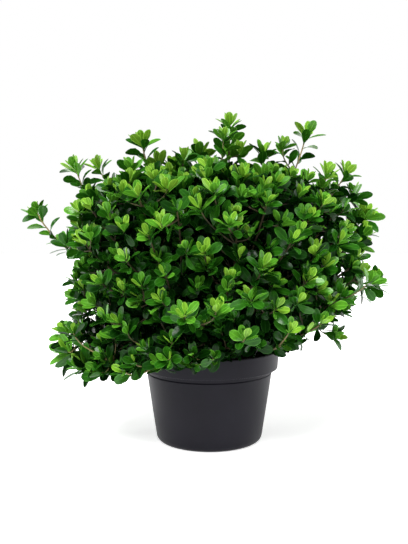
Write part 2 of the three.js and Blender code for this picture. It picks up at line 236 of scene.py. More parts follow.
def mottled(name, dark, light, patch, grain, share, smoothest, roughest, bump, specular=0.5):
    """A material whose colour and sheen come from the mottle group, with its grain as a bump."""
    material = bpy.data.materials.new(name)
    material.use_nodes = True
    nodes = material.node_tree.nodes
    shader = nodes["Principled BSDF"]
    place = nodes.new("ShaderNodeTexCoord")
    wander = nodes.new("ShaderNodeGroup")
    raised = nodes.new("ShaderNodeBump")
    wander.node_tree = mottle
    values = {"Patch Scale": patch, "Grain Scale": grain, "Grain Share": share}
    values.update({"Dark": (*dark, 1), "Light": (*light, 1)})
    values.update({"Smoothest": smoothest, "Roughest": roughest})
    preset(wander, values)
    preset(raised, {"Strength": bump, "Distance": grain_relief})
    preset(shader, {"Specular IOR Level": specular})
    links = [
        (place, "Object", wander, "Vector"),
        (wander, "Color", shader, "Base Color"),
        (wander, "Roughness", shader, "Roughness"),
        (wander, "Height", raised, "Height"),
        (raised, "Normal", shader, "Normal"),
    ]
    wired(material.node_tree, links)
    return material


charcoal_polypropylene = mottled(
    "charcoal_polypropylene",
    dark=(0.0048, 0.0043, 0.0078),
    light=(0.0095, 0.0088, 0.0142),
    patch=16,
    grain=900,
    share=0.35,
    smoothest=0.40,
    roughest=0.50,
    bump=0.12,
    specular=0.13,
)
pot.data.materials.append(charcoal_polypropylene)
pot_shader = charcoal_polypropylene.node_tree.nodes["Principled BSDF"]
preset(pot_shader, {"Sheen Weight": 0.04, "Sheen Roughness": 0.4})
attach(pot, "root")
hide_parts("pot")


# The potting soil
# Dark damp potting mix that fills the pot to a little below its rim. Crumbs of peat and bark lie
# loose on it, and it is settled slightly lower against the wall.
soil_low, soil_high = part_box("soil")
soil_radius = soil_high.x
soil_level = soil_high.z
soil_foot_inset = 0.012
soil_wall_inset = 0.0032
soil_step = 0.0045
soil_settling = 0.004
soil_sides = 96
soil_rings = 26
clod_scale = 70
clod_smoothness = 1.0
clod_shrinking = 2.0
clod_octaves = 4
clod_height = 0.0012
clod_fade = 0.01
clod_foot = 0.005
crumb_room = 0.0008
crumb_margin = 0.003
crumb_size = 0.0036
crumb_lumps = 0.35
crumb_lump_scale = 900
crumb_flatness = 0.6
crumb_density = 42000.0
steepest_bed = 0.5

soil_outline = [
    Vector((0, soil_low.z)),
    Vector((foot_radius - soil_foot_inset, soil_low.z)),
    Vector((shoulder_radius - soil_wall_inset, ledge_height)),
    Vector((soil_radius, ledge_height + soil_step)),
]
for k in range(soil_rings + 1):
    share = 1 - k / soil_rings
    level = soil_level - soil_settling * share**2 - crumb_room
    soil_outline.append(Vector((soil_radius * share, level)))
soil = turned("potting_soil", soil_outline, soil_sides)
for corner in soil.data.vertices:
    if corner.co.z > ledge_height + clod_foot:
        place = corner.co * clod_scale
        bumpy = noise.fractal(place, clod_smoothness, clod_shrinking, clod_octaves)
        inside = min(1, max(0, (soil_radius - corner.co.xy.length) / clod_fade))
        corner.co.z += clod_height * bumpy * inside

potting_mix = mottled(
    "potting_mix",
    dark=(0.010, 0.007, 0.005),
    light=(0.050, 0.031, 0.018),
    patch=60,
    grain=420,
    share=0.6,
    smoothest=0.75,
    roughest=0.98,
    bump=0.9,
    specular=0.25,
)
soil.data.materials.append(potting_mix)


def growing_tree(name, sockets):
    """A Geometry Nodes tree with named inputs, a material the last, and its input and output nodes."""
    tree = bpy.data.node_groups.new(name, "GeometryNodeTree")
    tree.interface.new_socket("Geometry", in_out="INPUT", socket_type="NodeSocketGeometry")
    for label, (kind, value) in {**sockets, "Material": ("Material", None)}.items():
        socket = tree.interface.new_socket(label, in_out="INPUT", socket_type="NodeSocket" + kind)
        if value is not None:
            socket.default_value = value
    tree.interface.new_socket("Geometry", in_out="OUTPUT", socket_type="NodeSocketGeometry")
    return tree, tree.nodes.new("NodeGroupInput"), tree.nodes.new("NodeGroupOutput")


def dress_result(tree, result, output, given, made):
    """Ends a tree: a node's output is made real and takes the material that the tree is given."""
    real = tree.nodes.new("GeometryNodeRealizeInstances")
    dress = tree.nodes.new("GeometryNodeSetMaterial")
    links = [
        (result, output, real, "Geometry"),
        (real, "Geometry", dress, "Geometry"),
        (given, "Material", dress, "Material"),
        (dress, "Geometry", made, "Geometry"),
    ]
    wired(tree, links)


def grown(name, source, tree, values):
    """The mesh that a Geometry Nodes tree makes from a source mesh, as a plain object at the origin."""
    holder = placed(name + "_source", source)
    modifier = holder.modifiers.new("Grown", "NODES")
    modifier.node_group = tree
    for item in tree.interface.items_tree:
        if item.in_out == "INPUT" and item.name in values:
            modifier[item.identifier] = values[item.name]
    holder.update_tag()
    bpy.context.view_layer.update()
    graph = bpy.context.evaluated_depsgraph_get()
    evaluated = holder.evaluated_get(graph)
    mesh = bpy.data.meshes.new_from_object(evaluated, preserve_all_data_layers=True, depsgraph=graph)
    mesh.name = name
    holder.modifiers.remove(modifier)
    bpy.data.objects.remove(holder)
    return placed(name, mesh)


def crumb_tree():
    """Scatters crumbs over the top of the soil, each turned and sized at random from a fixed seed."""
    sockets = {
        "Crumb": ("Object", None),
        "Density": ("Float", 1000.0),
        "Smallest": ("Float", 0.4),
        "Largest": ("Float", 1.3),
    }
    tree, given, made = growing_tree("Soil crumbs", sockets)
    nodes = tree.nodes
    scatter_over = nodes.new("GeometryNodeDistributePointsOnFaces")
    crumb = nodes.new("GeometryNodeObjectInfo")
    turn = nodes.new("FunctionNodeRandomValue")
    size = nodes.new("FunctionNodeRandomValue")
    place = nodes.new("GeometryNodeInstanceOnPoints")
    turn.data_type = "FLOAT_VECTOR"
    preset(scatter_over, {"Seed": 4})
    preset(turn, {"Max": (2 * math.pi, 2 * math.pi, 2 * math.pi), "Seed": 11})
    preset(size, {"Seed": 12})
    links = [
        (given, "Geometry", scatter_over, "Mesh"),
        (given, "Density", scatter_over, "Density"),
        (given, "Crumb", crumb, "Object"),
        (given, "Smallest", size, 2),
        (given, "Largest", size, 3),
        (scatter_over, "Points", place, "Points"),
        (crumb, "Geometry", place, "Instance"),
        (turn, "Value", place, "Rotation"),
        (size, 1, place, "Scale"),
    ]
    wired(tree, links)
    dress_result(tree, place, "Instances", given, made)
    return tree


crumb_shape = bmesh.new()
bmesh.ops.create_icosphere(crumb_shape, subdivisions=1, radius=crumb_size / 2)
for corner in crumb_shape.verts:
    corner.co *= 1 + crumb_lumps * noise.noise(corner.co * crumb_lump_scale)
    corner.co.z *= crumb_flatness
crumb = placed("crumb", mesh_of(crumb_shape, "crumb"))

open_soil = bmesh.new()
open_soil.from_mesh(soil.data)
bed_radius = soil_radius - crumb_margin
bare = []
for face in open_soil.faces:
    if face.normal.z < steepest_bed or face.calc_center_median().xy.length > bed_radius:
        bare.append(face)
bmesh.ops.delete(open_soil, geom=bare, context="FACES")
crumb_values = {"Crumb": crumb, "Density": crumb_density, "Material": potting_mix}
crumbs = grown("soil_crumbs", mesh_of(open_soil, "crumb_bed"), crumb_tree(), crumb_values)
bpy.data.objects.remove(crumb)
for piece in (soil, crumbs):
    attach(piece, "root")
    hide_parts("soil")


# The trunk and boughs
# The living wood of the shrub: a short trunk, flared by its surface roots, that forks low down into
# sixteen tapering boughs. They are one growth, so their bark runs on from the one into the others.
heart = Vector((0, 0, 0.152))
trunk_sinking = 0.003
trunk_radius = 0.0105
trunk_top_radius = 0.0090
trunk_flare = 0.008
trunk_top = 0.169
trunk_lean = Vector((0.0024, -0.0012, 0))
trunk_steps = 24
trunk_sides = 40
root_count = 5
root_swelling = 0.16
mass_rings = [
    {"place": "low", "count": 6, "elevation": 3, "turn": 20, "rise": -0.011},
    {"place": "middle", "count": 6, "elevation": 37, "turn": 52, "rise": -0.001},
    {"place": "top", "count": 4, "elevation": 68, "turn": 15, "rise": 0.010},
]
bough_reach = 0.074
bough_overrun = 0.003
bough_rooting = 0.0056
bough_rooting_share = 0.4
bough_radius = 0.0035
bough_thickening = 1.15
bough_base_radius = bough_radius * bough_thickening
bough_tip_radius = 0.0030
bough_bend = 0.55
bough_steps = 14
bough_sides = 16
fissure_scales = (420, 420, 90)
fissure_octaves = 3
fissure_depth = 0.0007
knot_scale = 130
knot_height = 0.0004
nearly_upright = 0.9
UP = Vector((0, 0, 1))


def direction_of(azimuth, elevation):
    """The unit vector at an azimuth and an elevation in degrees."""
    a, e = math.radians(azimuth), math.radians(elevation)
    return Vector((math.cos(e) * math.cos(a), math.cos(e) * math.sin(a), math.sin(e)))


def growth(start, end, arriving, bend, steps):
    """Points along a growth that leaves start and arrives at end along the given direction."""
    control = end - arriving * ((end - start).length * bend)
    return bent(start, control, end, steps)


def add_tube(shape, points, radii, sides, wave=None):
    """A closed tube through the points, added to a bmesh."""
    upright = abs((points[1] - points[0]).normalized().z) > nearly_upright
    across = Vector((1, 0, 0)) if upright else UP.copy()
    rings = []
    for i, point in enumerate(points):
        ahead = points[min(i + 1, len(points) - 1)] - points[max(i - 1, 0)]
        tangent = ahead.normalized()
        across = (across - tangent * across.dot(tangent)).normalized()
        other = tangent.cross(across)
        ring = []
        for j in range(sides):
            angle = 2 * math.pi * j / sides
            radius = radii[i] * (wave(i / (len(points) - 1), angle) if wave else 1)
            outward = across * math.cos(angle) + other * math.sin(angle)
            ring.append(shape.verts.new(point + outward * radius))
        rings.append(ring)
    join_rings(shape, rings)
    shape.faces.new(rings[0][::-1])
    shape.faces.new(rings[-1])


def root_flare(height, angle):
    """How much the trunk swells over its surface roots, at a share of its height and a turn."""
    return 1 + root_swelling * (1 - height) ** 4 * math.cos(root_count * angle)


masses = []
for ring in mass_rings:
    for i in range(ring["count"]):
        axis = direction_of(ring["turn"] + 360 * i / ring["count"], ring["elevation"])
        masses.append({"name": f"{ring['place']}_{i + 1}", "axis": axis, "rise": ring["rise"]})

wood_shape = bmesh.new()
trunk_foot = Vector((0, 0, soil_level - trunk_sinking))
trunk_head = Vector((0, 0, trunk_top)) + trunk_lean
trunk_taper = trunk_top_radius - trunk_radius
trunk_shares = [k / trunk_steps for k in range(trunk_steps + 1)]
trunk_points = [trunk_foot.lerp(trunk_head, t) - trunk_lean * (1 - t) * t for t in trunk_shares]
trunk_radii = [trunk_radius + trunk_taper * t + trunk_flare * (1 - t) ** 6 for t in trunk_shares]
add_tube(wood_shape, trunk_points, trunk_radii, trunk_sides, root_flare)
bough_taper = bough_tip_radius - bough_base_radius
bough_radii = [bough_base_radius + bough_taper * k / bough_steps for k in range(bough_steps + 1)]
for mass in masses:
    level = Vector((mass["axis"].x, mass["axis"].y, 0)).normalized()
    start = heart + level * bough_rooting * bough_rooting_share + UP * mass["rise"]
    tip = heart + mass["axis"] * (bough_reach + bough_overrun)
    bough_points = growth(start, tip, mass["axis"], bough_bend, bough_steps)
    add_tube(wood_shape, bough_points, bough_radii, bough_sides)
wood = placed("trunk_and_boughs", mesh_of(wood_shape, "trunk_and_boughs"))


def fused(piece, grain, smoothing):
    """Melts a piece's crossing shells into one skin, and eases its forks."""
    melt = piece.modifiers.new("Melt", "REMESH")
    melt.mode = "VOXEL"
    melt.voxel_size = grain
    ease = piece.modifiers.new("Ease", "SMOOTH")
    ease.factor = 0.5
    ease.iterations = smoothing
    evaluated = piece.evaluated_get(bpy.context.evaluated_depsgraph_get())
    skin = bpy.data.meshes.new_from_object(evaluated)
    piece.modifiers.clear()
    piece.data = skin


fused(wood, grain=0.0011, smoothing=3)
skin = bmesh.new()
skin.from_mesh(wood.data)
for corner in skin.verts:
    run = Vector([part * scale for part, scale in zip(corner.co, fissure_scales)])
    fissure = noise.turbulence(run, fissure_octaves, False)
    knots = noise.noise(corner.co * knot_scale)
    corner.co += corner.normal * (knot_height * knots - fissure_depth * fissure)
skin.to_mesh(wood.data)
skin.free()
wood.data.shade_smooth()
old_bark = mottled(
    "old_bark",
    dark=(0.035, 0.024, 0.016),
    light=(0.180, 0.120, 0.072),
    patch=70,
    grain=520,
    share=0.5,
    smoothest=0.7,
    roughest=0.95,
    bump=0.7,
    specular=0.3,
)
wood.data.materials.append(old_bark)
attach(wood, "root")
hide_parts("trunk", *[f"bough_{mass['name']}" for mass in masses])


# The twigs
# Thin woody stems that carry the crown. Each bough grows on into a stem, limbs and twigs by the same
# rule as the solids, and the twigs fork again into shoots that end in the leaf rosettes. The stems are
# pale at the crown's outside and darker inside, partly as older wood and partly as painted shade.
# Shoots fringe the pot's rim, and sprigs stand out where the plant's outline does.
crown_middle = Vector((0.008, 0, 0.268))
crown_half_width = 0.212
crown_half_depth = 0.206
crown_rise = 0.145
crown_fall = 0.150
crown_fall_slant = 0.020
crown_squareness = 4.2
crown_ceiling = 0.404
ceiling_slope = 0.050
crown_dips = [
    {"x": 0.145, "width": 0.026, "depth": 0.036},
    {"x": 0.057, "width": 0.012, "depth": 0.012},
    {"x": -0.125, "width": 0.030, "depth": 0.012},
]
ceiling_edge = (0.060, 0.205)
skirt_height = 0.147
skirt_room = 0.010
left_drop = 0.038
left_edge = (0.035, 0.110)
front_drop = 0.026
front_edge = (0.085, 0.120)
front_left_edge = (-0.050, 0.020)
right_lift = 0.036
right_edge = (0.112, 0.150)
right_slope = 0.25
far_slope = 0.45
far_edge = 0.135
golden_angle = math.pi * (3 - math.sqrt(5))


def scatter(index, salt):
    """The same number from 0 to 1 every time for the same index and salt."""
    wave = math.sin(index * 12.9898 + salt * 78.233) * 43758.5453
    return wave - math.floor(wave)


def spiral_direction(index, count):
    """One of a number of directions that are spread evenly all round."""
    height = 1 - 2 * (index + 0.5) / count
    level = math.sqrt(1 - height * height)
    azimuth = index * golden_angle
    return Vector((level * math.cos(azimuth), level * math.sin(azimuth), height))


def crown_point(direction, scale):
    """The crown's surface in one direction from its middle, as a share of the way to it."""
    level = math.hypot(direction.x / crown_half_width, direction.y / crown_half_depth)
    fall = crown_fall - crown_fall_slant * direction.x
    rise = abs(direction.z) / (crown_rise if direction.z > 0 else fall)
    size = (level**crown_squareness + rise**crown_squareness) ** (-1 / crown_squareness)
    return crown_middle + direction * (size * scale)


def clear_of_pot(point, margin):
    """Whether a point is above the pot's rim or outside it, with a margin."""
    return point.z > pot_height + margin or point.xy.length > rim_radius + margin


def eased(value, start, end):
    """A smooth step from 0 to 1 as the value goes from start to end."""
    share = min(1, max(0, (value - start) / (end - start)))
    return share * share * (3 - 2 * share)


def skirt(point):
    """The lowest that leaves hang: just over the rim, lower in front and at the left."""
    at_left = left_drop * eased(-point.x, *left_edge)
    in_front = front_drop * eased(-point.y, *front_edge) * eased(-point.x, *front_left_edge)
    at_right = right_lift * eased(point.x, *right_edge) + right_slope * max(0, point.x - right_edge[1])
    rounded = far_slope * max(0, abs(point.y) - far_edge)
    return skirt_height - max(at_left, in_front) + at_right + rounded


def ceiling(point):
    """The highest that ordinary shoots end, which dips into hollows between the sprigs on top."""
    dips = 0
    for dip in crown_dips:
        dips += dip["depth"] * math.exp(-(((point.x - dip["x"]) / dip["width"]) ** 2))
    return crown_ceiling - dips - ceiling_slope * eased(abs(point.y), *ceiling_edge)


def mass_holding(point):
    """The mass of foliage whose axis comes nearest to a point."""
    out = point - heart
    return max(masses, key=lambda mass: mass["axis"].dot(out))


def clearance_in(mass, point):
    """How far a point in a mass is from the nearest of the masses beside it."""
    out = point - heart
    others = [other for other in masses if other is not mass]
    return min((mass["axis"] - other["axis"]).normalized().dot(out) for other in others)


def length_of(path):
    return sum((b - a).length for a, b in zip(path, path[1:]))


def fork_on(parent, target, back=0.5, earliest=0.2, latest=0.92):
    """The place along a parent's points that a side growth to the target leaves from."""
    last = len(parent) - 1
    near = min(range(len(parent)), key=lambda i: (parent[i] - target).length)
    steps_back = back * (parent[near] - target).length / length_of(parent) * last
    return min(max(near - steps_back, earliest * last), latest * last)


def point_on(path, place):
    """The point at a place along a path, where whole places are the path's own points."""
    low = min(int(place), len(path) - 2)
    return path[low].lerp(path[low + 1], place - low)


tip_count = 154
tip_nearest = 0.86
tip_depth = 0.12
tip_clearance = 0.022
tip_beyond = 0.012
tip_held_back = 0.026
tip_leafy = 0.060
tip_room = 0.015
leaf_gap = 0.0048
solid_leaf = 0.066
upward_lean = 1.1
tip_manner = {"leafy": tip_leafy, "gap": leaf_gap, "size": 1, "youth": 0, "hang": 0}
long_shoot_manner = {"youth": 0.5, "hang": 0.05}
long_shoot_parts = ("azimuth", "elevation", "reach", "beyond", "leafy", "gap", "size")
long_shoots = [
    (181, 33, 0.352, 0.038, 0.105, 0.008, 1.12),
    (190, 70, 0.344, 0.030, 0.070, 0.005, 1.05),
    (20, 84, 0.374, 0.014, 0.120, 0.004, 1.20),
    (12, 62, 0.366, 0.044, 0.075, 0.008, 1.35),
    (-25, 52, 0.346, 0.022, 0.060, 0.005, 1.15),
    (6, 35, 0.332, 0.036, 0.050, 0.005, 1.20),
    (-8, 22, 0.292, 0.020, 0.050, 0.005, 1.20),
    (196, -2, 0.258, 0.034, 0.070, 0.005, 1.20),
    (100, 46, 0.336, 0.036, 0.060, 0.006, 1.20),
    (72, 14, 0.268, 0.036, 0.050, 0.006, 1.20),
    (135, 28, 0.300, 0.036, 0.040, 0.009, 1.20),
]
tips = []
for i in range(tip_count):
    direction = spiral_direction(i, tip_count)
    point = crown_point(direction, tip_nearest + tip_depth * scatter(i, 1))
    if clear_of_pot(point, tip_clearance):
        point.z = min(point.z, ceiling(point))
        beyond = tip_beyond - tip_held_back * max(0, direction.z)
        tips.append({"point": point, "direction": direction, "beyond": beyond, **tip_manner})
for values in long_shoots:
    tip = {**dict(zip(long_shoot_parts, values)), **long_shoot_manner}
    tip["direction"] = direction_of(tip["azimuth"], tip["elevation"])
    tip["point"] = heart + tip["direction"] * (tip["reach"] - solid_leaf)
    tips.append(tip)

limb_count = 52
limb_directions = [spiral_direction(i, limb_count) for i in range(limb_count)]
for tip in tips:
    point = tip["point"]
    out = (point - crown_middle).normalized()
    tip["facing"] = (tip["direction"] + UP * upward_lean).normalized()
    tip["mass"] = mass_holding(point)
    tip["limb"] = max(range(limb_count), key=lambda i: limb_directions[i].dot(out))
    axis = tip["mass"]["axis"]
    on_axis = heart + axis * (point - heart).dot(axis)
    shortfall = max(0, tip_room - clearance_in(tip["mass"], point))
    tip["point"] = point.lerp(on_axis, shortfall / max((on_axis - point).length, tip_room))

stem_share = 0.46
stem_bend = 0.5
stem_steps = 4
stem_radii = (0.0029, 0.0021)
limb_share = 0.5
lone_limb_share = 0.4
limb_steps = 4
limb_radii = (0.0021, 0.0015)
twig_bend = 0.4
twig_steps = 9
twig_radii = (0.0016, 0.0010)
woody_paths = []
for mass in masses:
    own = [tip for tip in tips if tip["mass"] is mass]
    for tip in own:
        tip["point"].z = max(tip["point"].z, skirt(tip["point"]) + skirt_room)
    middle = sum((tip["point"] for tip in own), Vector()) / len(own)
    stem_start = heart + mass["axis"] * bough_reach
    stem_end = stem_start.lerp(middle, stem_share)
    stem = growth(stem_end, stem_start, -mass["axis"], stem_bend, stem_steps)[::-1]
    woody_paths.append((stem, *stem_radii))
    mass["twigs"] = []
    for limb in sorted({tip["limb"] for tip in own}):
        group = [tip for tip in own if tip["limb"] == limb]
        centre = sum((tip["point"] for tip in group), Vector()) / len(group)
        start = point_on(stem, fork_on(stem, centre))
        end = start.lerp(centre, limb_share if len(group) > 1 else lone_limb_share)
        limb_path = [start.lerp(end, k / limb_steps) for k in range(limb_steps + 1)]
        woody_paths.append((limb_path, *limb_radii))
        for tip in group:
            fork = point_on(limb_path, fork_on(limb_path, tip["point"]))
            end = tip["point"] + tip["facing"] * tip["beyond"]
            tip["path"] = growth(fork, end, tip["facing"], twig_bend, twig_steps)
            woody_paths.append((tip["path"], *twig_radii))
        mass["twigs"] += group

shoot_bend = 0.35
shoot_steps = 7
shoot_fork_back = 0.6
shoot_radii = (0.0011, 0.0008)
shoot_clearance = 0.012
shoot_skirt_room = 0.008
shoot_leafy = 0.038
shoot_layers = [
    {"count": 440, "nearest": 0.77, "depth": 0.31, "size": 1},
    {"count": 330, "nearest": 0.60, "depth": 0.18, "size": 1.1},
    {"count": 110, "nearest": 0.42, "depth": 0.18, "size": 1.4},
]
tuft_scale = 5.5
tuft_swing = 1.3
tuft_share = 0.6
chance_share = 0.4
top_flatness = 0.13
outward_lean = 0.46
tilt_spread = 0.8
tilt_weight = 0.8
vigorous_share = 0.34
vigorous_above = 0.15
vigorous_lean = 0.4
vigorous_length = 0.006
vigorous_more = 0.022
vigorous_flatness = 0.6
vigorous_leafy = 0.062
vigorous_youth = 0.3
fringe_count = 120
fringe_radius = 0.116
fringe_width = 0.075
fringe_depth = 0.016
fringe_lift = 0.2
fringe_more_lift = 0.8
fringe_leafy = 0.034
sprig_lean = 0.7
sprig_leafy = 0.050
upper_sprigs = {"size": 1.15, "youth": 0.4, "hang": 0.05}
side_sprigs = {"size": 0.95, "youth": 0.2, "hang": 0.05}
low_sprigs = {"size": 1.35, "youth": 0, "hang": 0.012}
lowest_sprigs = {"size": 1.40, "youth": 0, "hang": 0.012}
sprigs = [
    (upper_sprigs, [(183, 52, 0.322), (176, 57, 0.306), (178, 46, 0.268)]),
    (upper_sprigs, [(-4, 74, 0.288), (5, 69, 0.308), (-8, 51, 0.317)]),
    (upper_sprigs, [(3, 38, 0.300), (2, 33, 0.264), (-5, 20, 0.258), (-6, 3, 0.186)]),
    (upper_sprigs, [(180, 87, 0.276), (0, 81, 0.283), (-50, 84, 0.300)]),
    (upper_sprigs, [(184, 74, 0.270), (172, 78, 0.264)]),
    (side_sprigs, [(95, 62, 0.272), (84, 40, 0.286), (102, 14, 0.250)]),
    (side_sprigs, [(-92, 60, 0.268), (-84, 40, 0.272), (-98, 16, 0.236)]),
    (low_sprigs, [(200, -2, 0.214), (207, -7, 0.198), (189, -6, 0.206)]),
    (lowest_sprigs, [(216, -9, 0.186), (215, -12, 0.148)]),
]
rosette_parts = ("path", "facing", "leafy", "gap", "size", "youth", "hang")
rosettes = [{part: tip[part] for part in rosette_parts} for mass in masses for tip in mass["twigs"]]
green_paths = []


def add_shoot(point, facing, leafy, size=1, youth=0, hang=0):
    """A fine shoot to the point, from the nearest twig of the mass that holds it."""
    near = [tip["path"] for tip in mass_holding(point)["twigs"]]
    twig = min(near, key=lambda path: min((p - point).length for p in path))
    fork = point_on(twig, fork_on(twig, point, shoot_fork_back))
    path = growth(fork, point, facing, shoot_bend, shoot_steps)
    green_paths.append((path, *shoot_radii))
    rosettes.append(dict(zip(rosette_parts, (path, facing, leafy, leaf_gap, size, youth, hang))))


for layer in shoot_layers:
    for i in range(layer["count"]):
        direction = spiral_direction(i, layer["count"])
        tuft = 0.5 + tuft_swing * noise.noise(direction * tuft_scale)
        reach = layer["nearest"] + layer["depth"] * (tuft_share * tuft + chance_share * scatter(i, 5))
        point = crown_point(direction, reach * (1 - top_flatness * max(0, direction.z)))
        point.z = min(point.z, ceiling(point))
        outermost = layer is shoot_layers[0]
        vigorous = outermost and direction.z > vigorous_above and scatter(i, 9) < vigorous_share
        if vigorous:
            longer = vigorous_length + vigorous_more * scatter(i, 10)
            point += (direction * vigorous_lean + UP) * longer * (1 - vigorous_flatness * direction.z)
        if not clear_of_pot(point, shoot_clearance) or point.z < skirt(point) + shoot_skirt_room:
            continue
        tilt = Vector([scatter(i, salt) - 0.5 for salt in (6, 7, 8)]) * tilt_spread
        facing = (direction * outward_lean + UP + tilt * tilt_weight).normalized()
        leafy = vigorous_leafy if vigorous else shoot_leafy
        add_shoot(point, facing, leafy, layer["size"], vigorous_youth if vigorous else 0)
for i in range(fringe_count):
    out = direction_of(math.degrees(i * golden_angle), 0)
    point = out * (fringe_radius + fringe_width * scatter(i, 11) ** 2)
    point.z = skirt(point) + skirt_room + fringe_depth * scatter(i, 12)
    facing = (out + UP * (fringe_lift + fringe_more_lift * scatter(i, 13))).normalized()
    add_shoot(point, facing, fringe_leafy)
for manner, ends in sprigs:
    for azimuth, elevation, reach in ends:
        direction = direction_of(azimuth, elevation)
        facing = (direction + UP * sprig_lean).normalized()
        add_shoot(heart + direction * reach, facing, sprig_leafy, **manner)


def stem_tree():
    """Draws a round stem along each path of a source mesh, as thick as its points say."""
    tree, given, made = growing_tree("Stems on paths", {"Sides": ("Int", 6)})
    nodes = tree.nodes
    run = nodes.new("GeometryNodeMeshToCurve")
    thickness = nodes.new("GeometryNodeInputNamedAttribute")
    section = nodes.new("GeometryNodeCurvePrimitiveCircle")
    sweep = nodes.new("GeometryNodeCurveToMesh")
    preset(thickness, {"Name": "thickness"})
    preset(section, {"Radius": 1.0})
    preset(sweep, {"Fill Caps": True})
    links = [
        (given, "Geometry", run, "Mesh"),
        (given, "Sides", section, "Resolution"),
        (run, "Curve", sweep, "Curve"),
        (section, "Curve", sweep, "Profile Curve"),
        (thickness, "Attribute", sweep, "Scale"),
    ]
    wired(tree, links)
    dress_result(tree, sweep, "Mesh", given, made)
    return tree


def mark_points(mesh, name, kind, values):
    """Stores a value for each point of a mesh, under a name that nodes can read."""
    mesh.attributes.new(name, kind, "POINT").data.foreach_set("value", values)


def path_mesh(name, paths):
    """The paths as chains of edges, with the stem's thickness at each point."""
    points, edges, thickness = [], [], []
    for path, thick, thin in paths:
        first = len(points)
        points.extend(path)
        edges.extend((first + k, first + k + 1) for k in range(len(path) - 1))
        thickness.extend(thick + (thin - thick) * k / (len(path) - 1) for k in range(len(path)))
    mesh = bpy.data.meshes.new(name)
    mesh.from_pydata(points, edges, [])
    mark_points(mesh, "thickness", "FLOAT", thickness)
    return mesh


def wood_age_and_shade_group():
    """Darkens the colour of a stem inside the crown towards black, partly as older wood and partly as
    painted shade.
    """
    inputs = {"Color": "Color", "Vector": "Vector", "Crown Middle": "Vector", "Crown Reach": "Vector"}
    group, given, made = shader_group("Wood age and painted shade", inputs, {"Color": "Color"})
    nodes = group.nodes
    out = nodes.new("ShaderNodeVectorMath")
    share = nodes.new("ShaderNodeVectorMath")
    length = nodes.new("ShaderNodeVectorMath")
    youth = nodes.new("ShaderNodeMapRange")
    tint = nodes.new("ShaderNodeMix")
    out.operation = "SUBTRACT"
    share.operation = "DIVIDE"
    length.operation = "LENGTH"
    tint.data_type = "RGBA"
    # Inside the crown the stem colour is mixed towards black: painted shade, as well as older wood.
    preset(youth, {"From Min": 1.00, "From Max": 1.32, "To Min": 0.16})
    preset(tint, {"A": (0.0, 0.0, 0.0, 1.0)})
    links = [
        (given, "Vector", out, 0),
        (given, "Crown Middle", out, 1),
        (out, "Vector", share, 0),
        (given, "Crown Reach", share, 1),
        (share, "Vector", length, 0),
        (length, "Value", youth, "Value"),
        (youth, "Result", tint, "Factor"),
        (given, "Color", tint, "B"),
        (tint, "Result", made, "Color"),
    ]
    wired(group, links)
    return group


def recolour(material, group, settings, reading, socket):
    """Puts a group between a mottled material's colour and its shader, with what the group reads."""
    change = material.node_tree.nodes.new("ShaderNodeGroup")
    change.node_tree = group
    preset(change, settings)
    join = material.node_tree.links.new
    base_color = material.node_tree.nodes["Principled BSDF"].inputs["Base Color"]
    join(base_color.links[0].from_socket, change.inputs["Color"])
    join(reading, change.inputs[socket])
    join(change.outputs["Color"], base_color)


twig_bark = mottled(
    "twig_bark",
    dark=(0.150, 0.110, 0.044),
    light=(0.480, 0.352, 0.160),
    patch=55,
    grain=600,
    share=0.4,
    smoothest=0.6,
    roughest=0.85,
    bump=0.4,
    specular=0.35,
)
shoot_skin = mottled(
    "shoot_skin",
    dark=(0.190, 0.162, 0.052),
    light=(0.510, 0.400, 0.168),
    patch=40,
    grain=700,
    share=0.3,
    smoothest=0.5,
    roughest=0.7,
    bump=0.2,
)
wood_age_and_shade = wood_age_and_shade_group()
crown_reaches = (crown_half_width, crown_half_depth, crown_rise)
# Both stem materials darken towards the crown's middle: older wood and painted shade.
for bark in (twig_bark, shoot_skin):
    place = bark.node_tree.nodes.new("ShaderNodeTexCoord")
    settings = {"Crown Middle": crown_middle, "Crown Reach": crown_reaches}
    recolour(bark, wood_age_and_shade, settings, place.outputs["Object"], "Vector")
stems_on_paths = stem_tree()
twig_values = {"Sides": 8, "Material": twig_bark}
shoot_values = {"Sides": 6, "Material": shoot_skin}
twigs = grown("woody_twigs", path_mesh("woody_paths", woody_paths), stems_on_paths, twig_values)
shoots = grown("green_shoots", path_mesh("green_paths", green_paths), stems_on_paths, shoot_values)
mass_nodes = [f"foliage_{mass['name']}" for mass in masses]
for piece in (twigs, shoots):
    piece.data.shade_smooth()
    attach(piece, "root")
    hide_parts(*mass_nodes)


# The leaves
# Small evergreen leaves, spoon-shaped with a folded midrib and a painted highlight along the edge,
# leathery and half glossy.
# Each shoot ends in a rosette of them, pale yellow-green in its heart, and older, darker leaves
# follow down its stem. Deep in the crown and low down they are darker still, as painted shade.
leaf_length = 0.0270
leaf_width = 0.0129
leaf_thickness = 0.0005
leaf_stations = [0.0, 0.14, 0.38, 0.62, 0.84, 0.955]
leaf_breadths = [0.08, 0.16, 0.68, 1.00, 0.82, 0.45]
tip_fold = 0.3
leaf_forms = {
    "flat": {"arch": 0.03, "droop": 0.05, "fold": 0.10},
    "cupped": {"arch": -0.05, "droop": -0.01, "fold": 0.18},
    "recurved": {"arch": 0.07, "droop": 0.20, "fold": 0.13},
}
flat, cupped, recurved = range(len(leaf_forms))
# Tones from pale to near black: the darker ones are partly older leaves and partly painted shade, deep
# in the crown and low down.
leaf_tones = {
    "heart": {"dark": (0.110, 0.285, 0.015), "light": (0.235, 0.450, 0.040), "gloss": 0.24},
    "bright": {"dark": (0.040, 0.170, 0.009), "light": (0.096, 0.296, 0.020), "gloss": 0.22},
    "middle": {"dark": (0.008, 0.064, 0.003), "light": (0.022, 0.114, 0.005), "gloss": 0.20},
    "deep": {"dark": (0.002, 0.022, 0.001), "light": (0.006, 0.042, 0.002), "gloss": 0.12},
    "shaded": {"dark": (0.001, 0.010, 0.001), "light": (0.003, 0.018, 0.002), "gloss": 0.03},
}


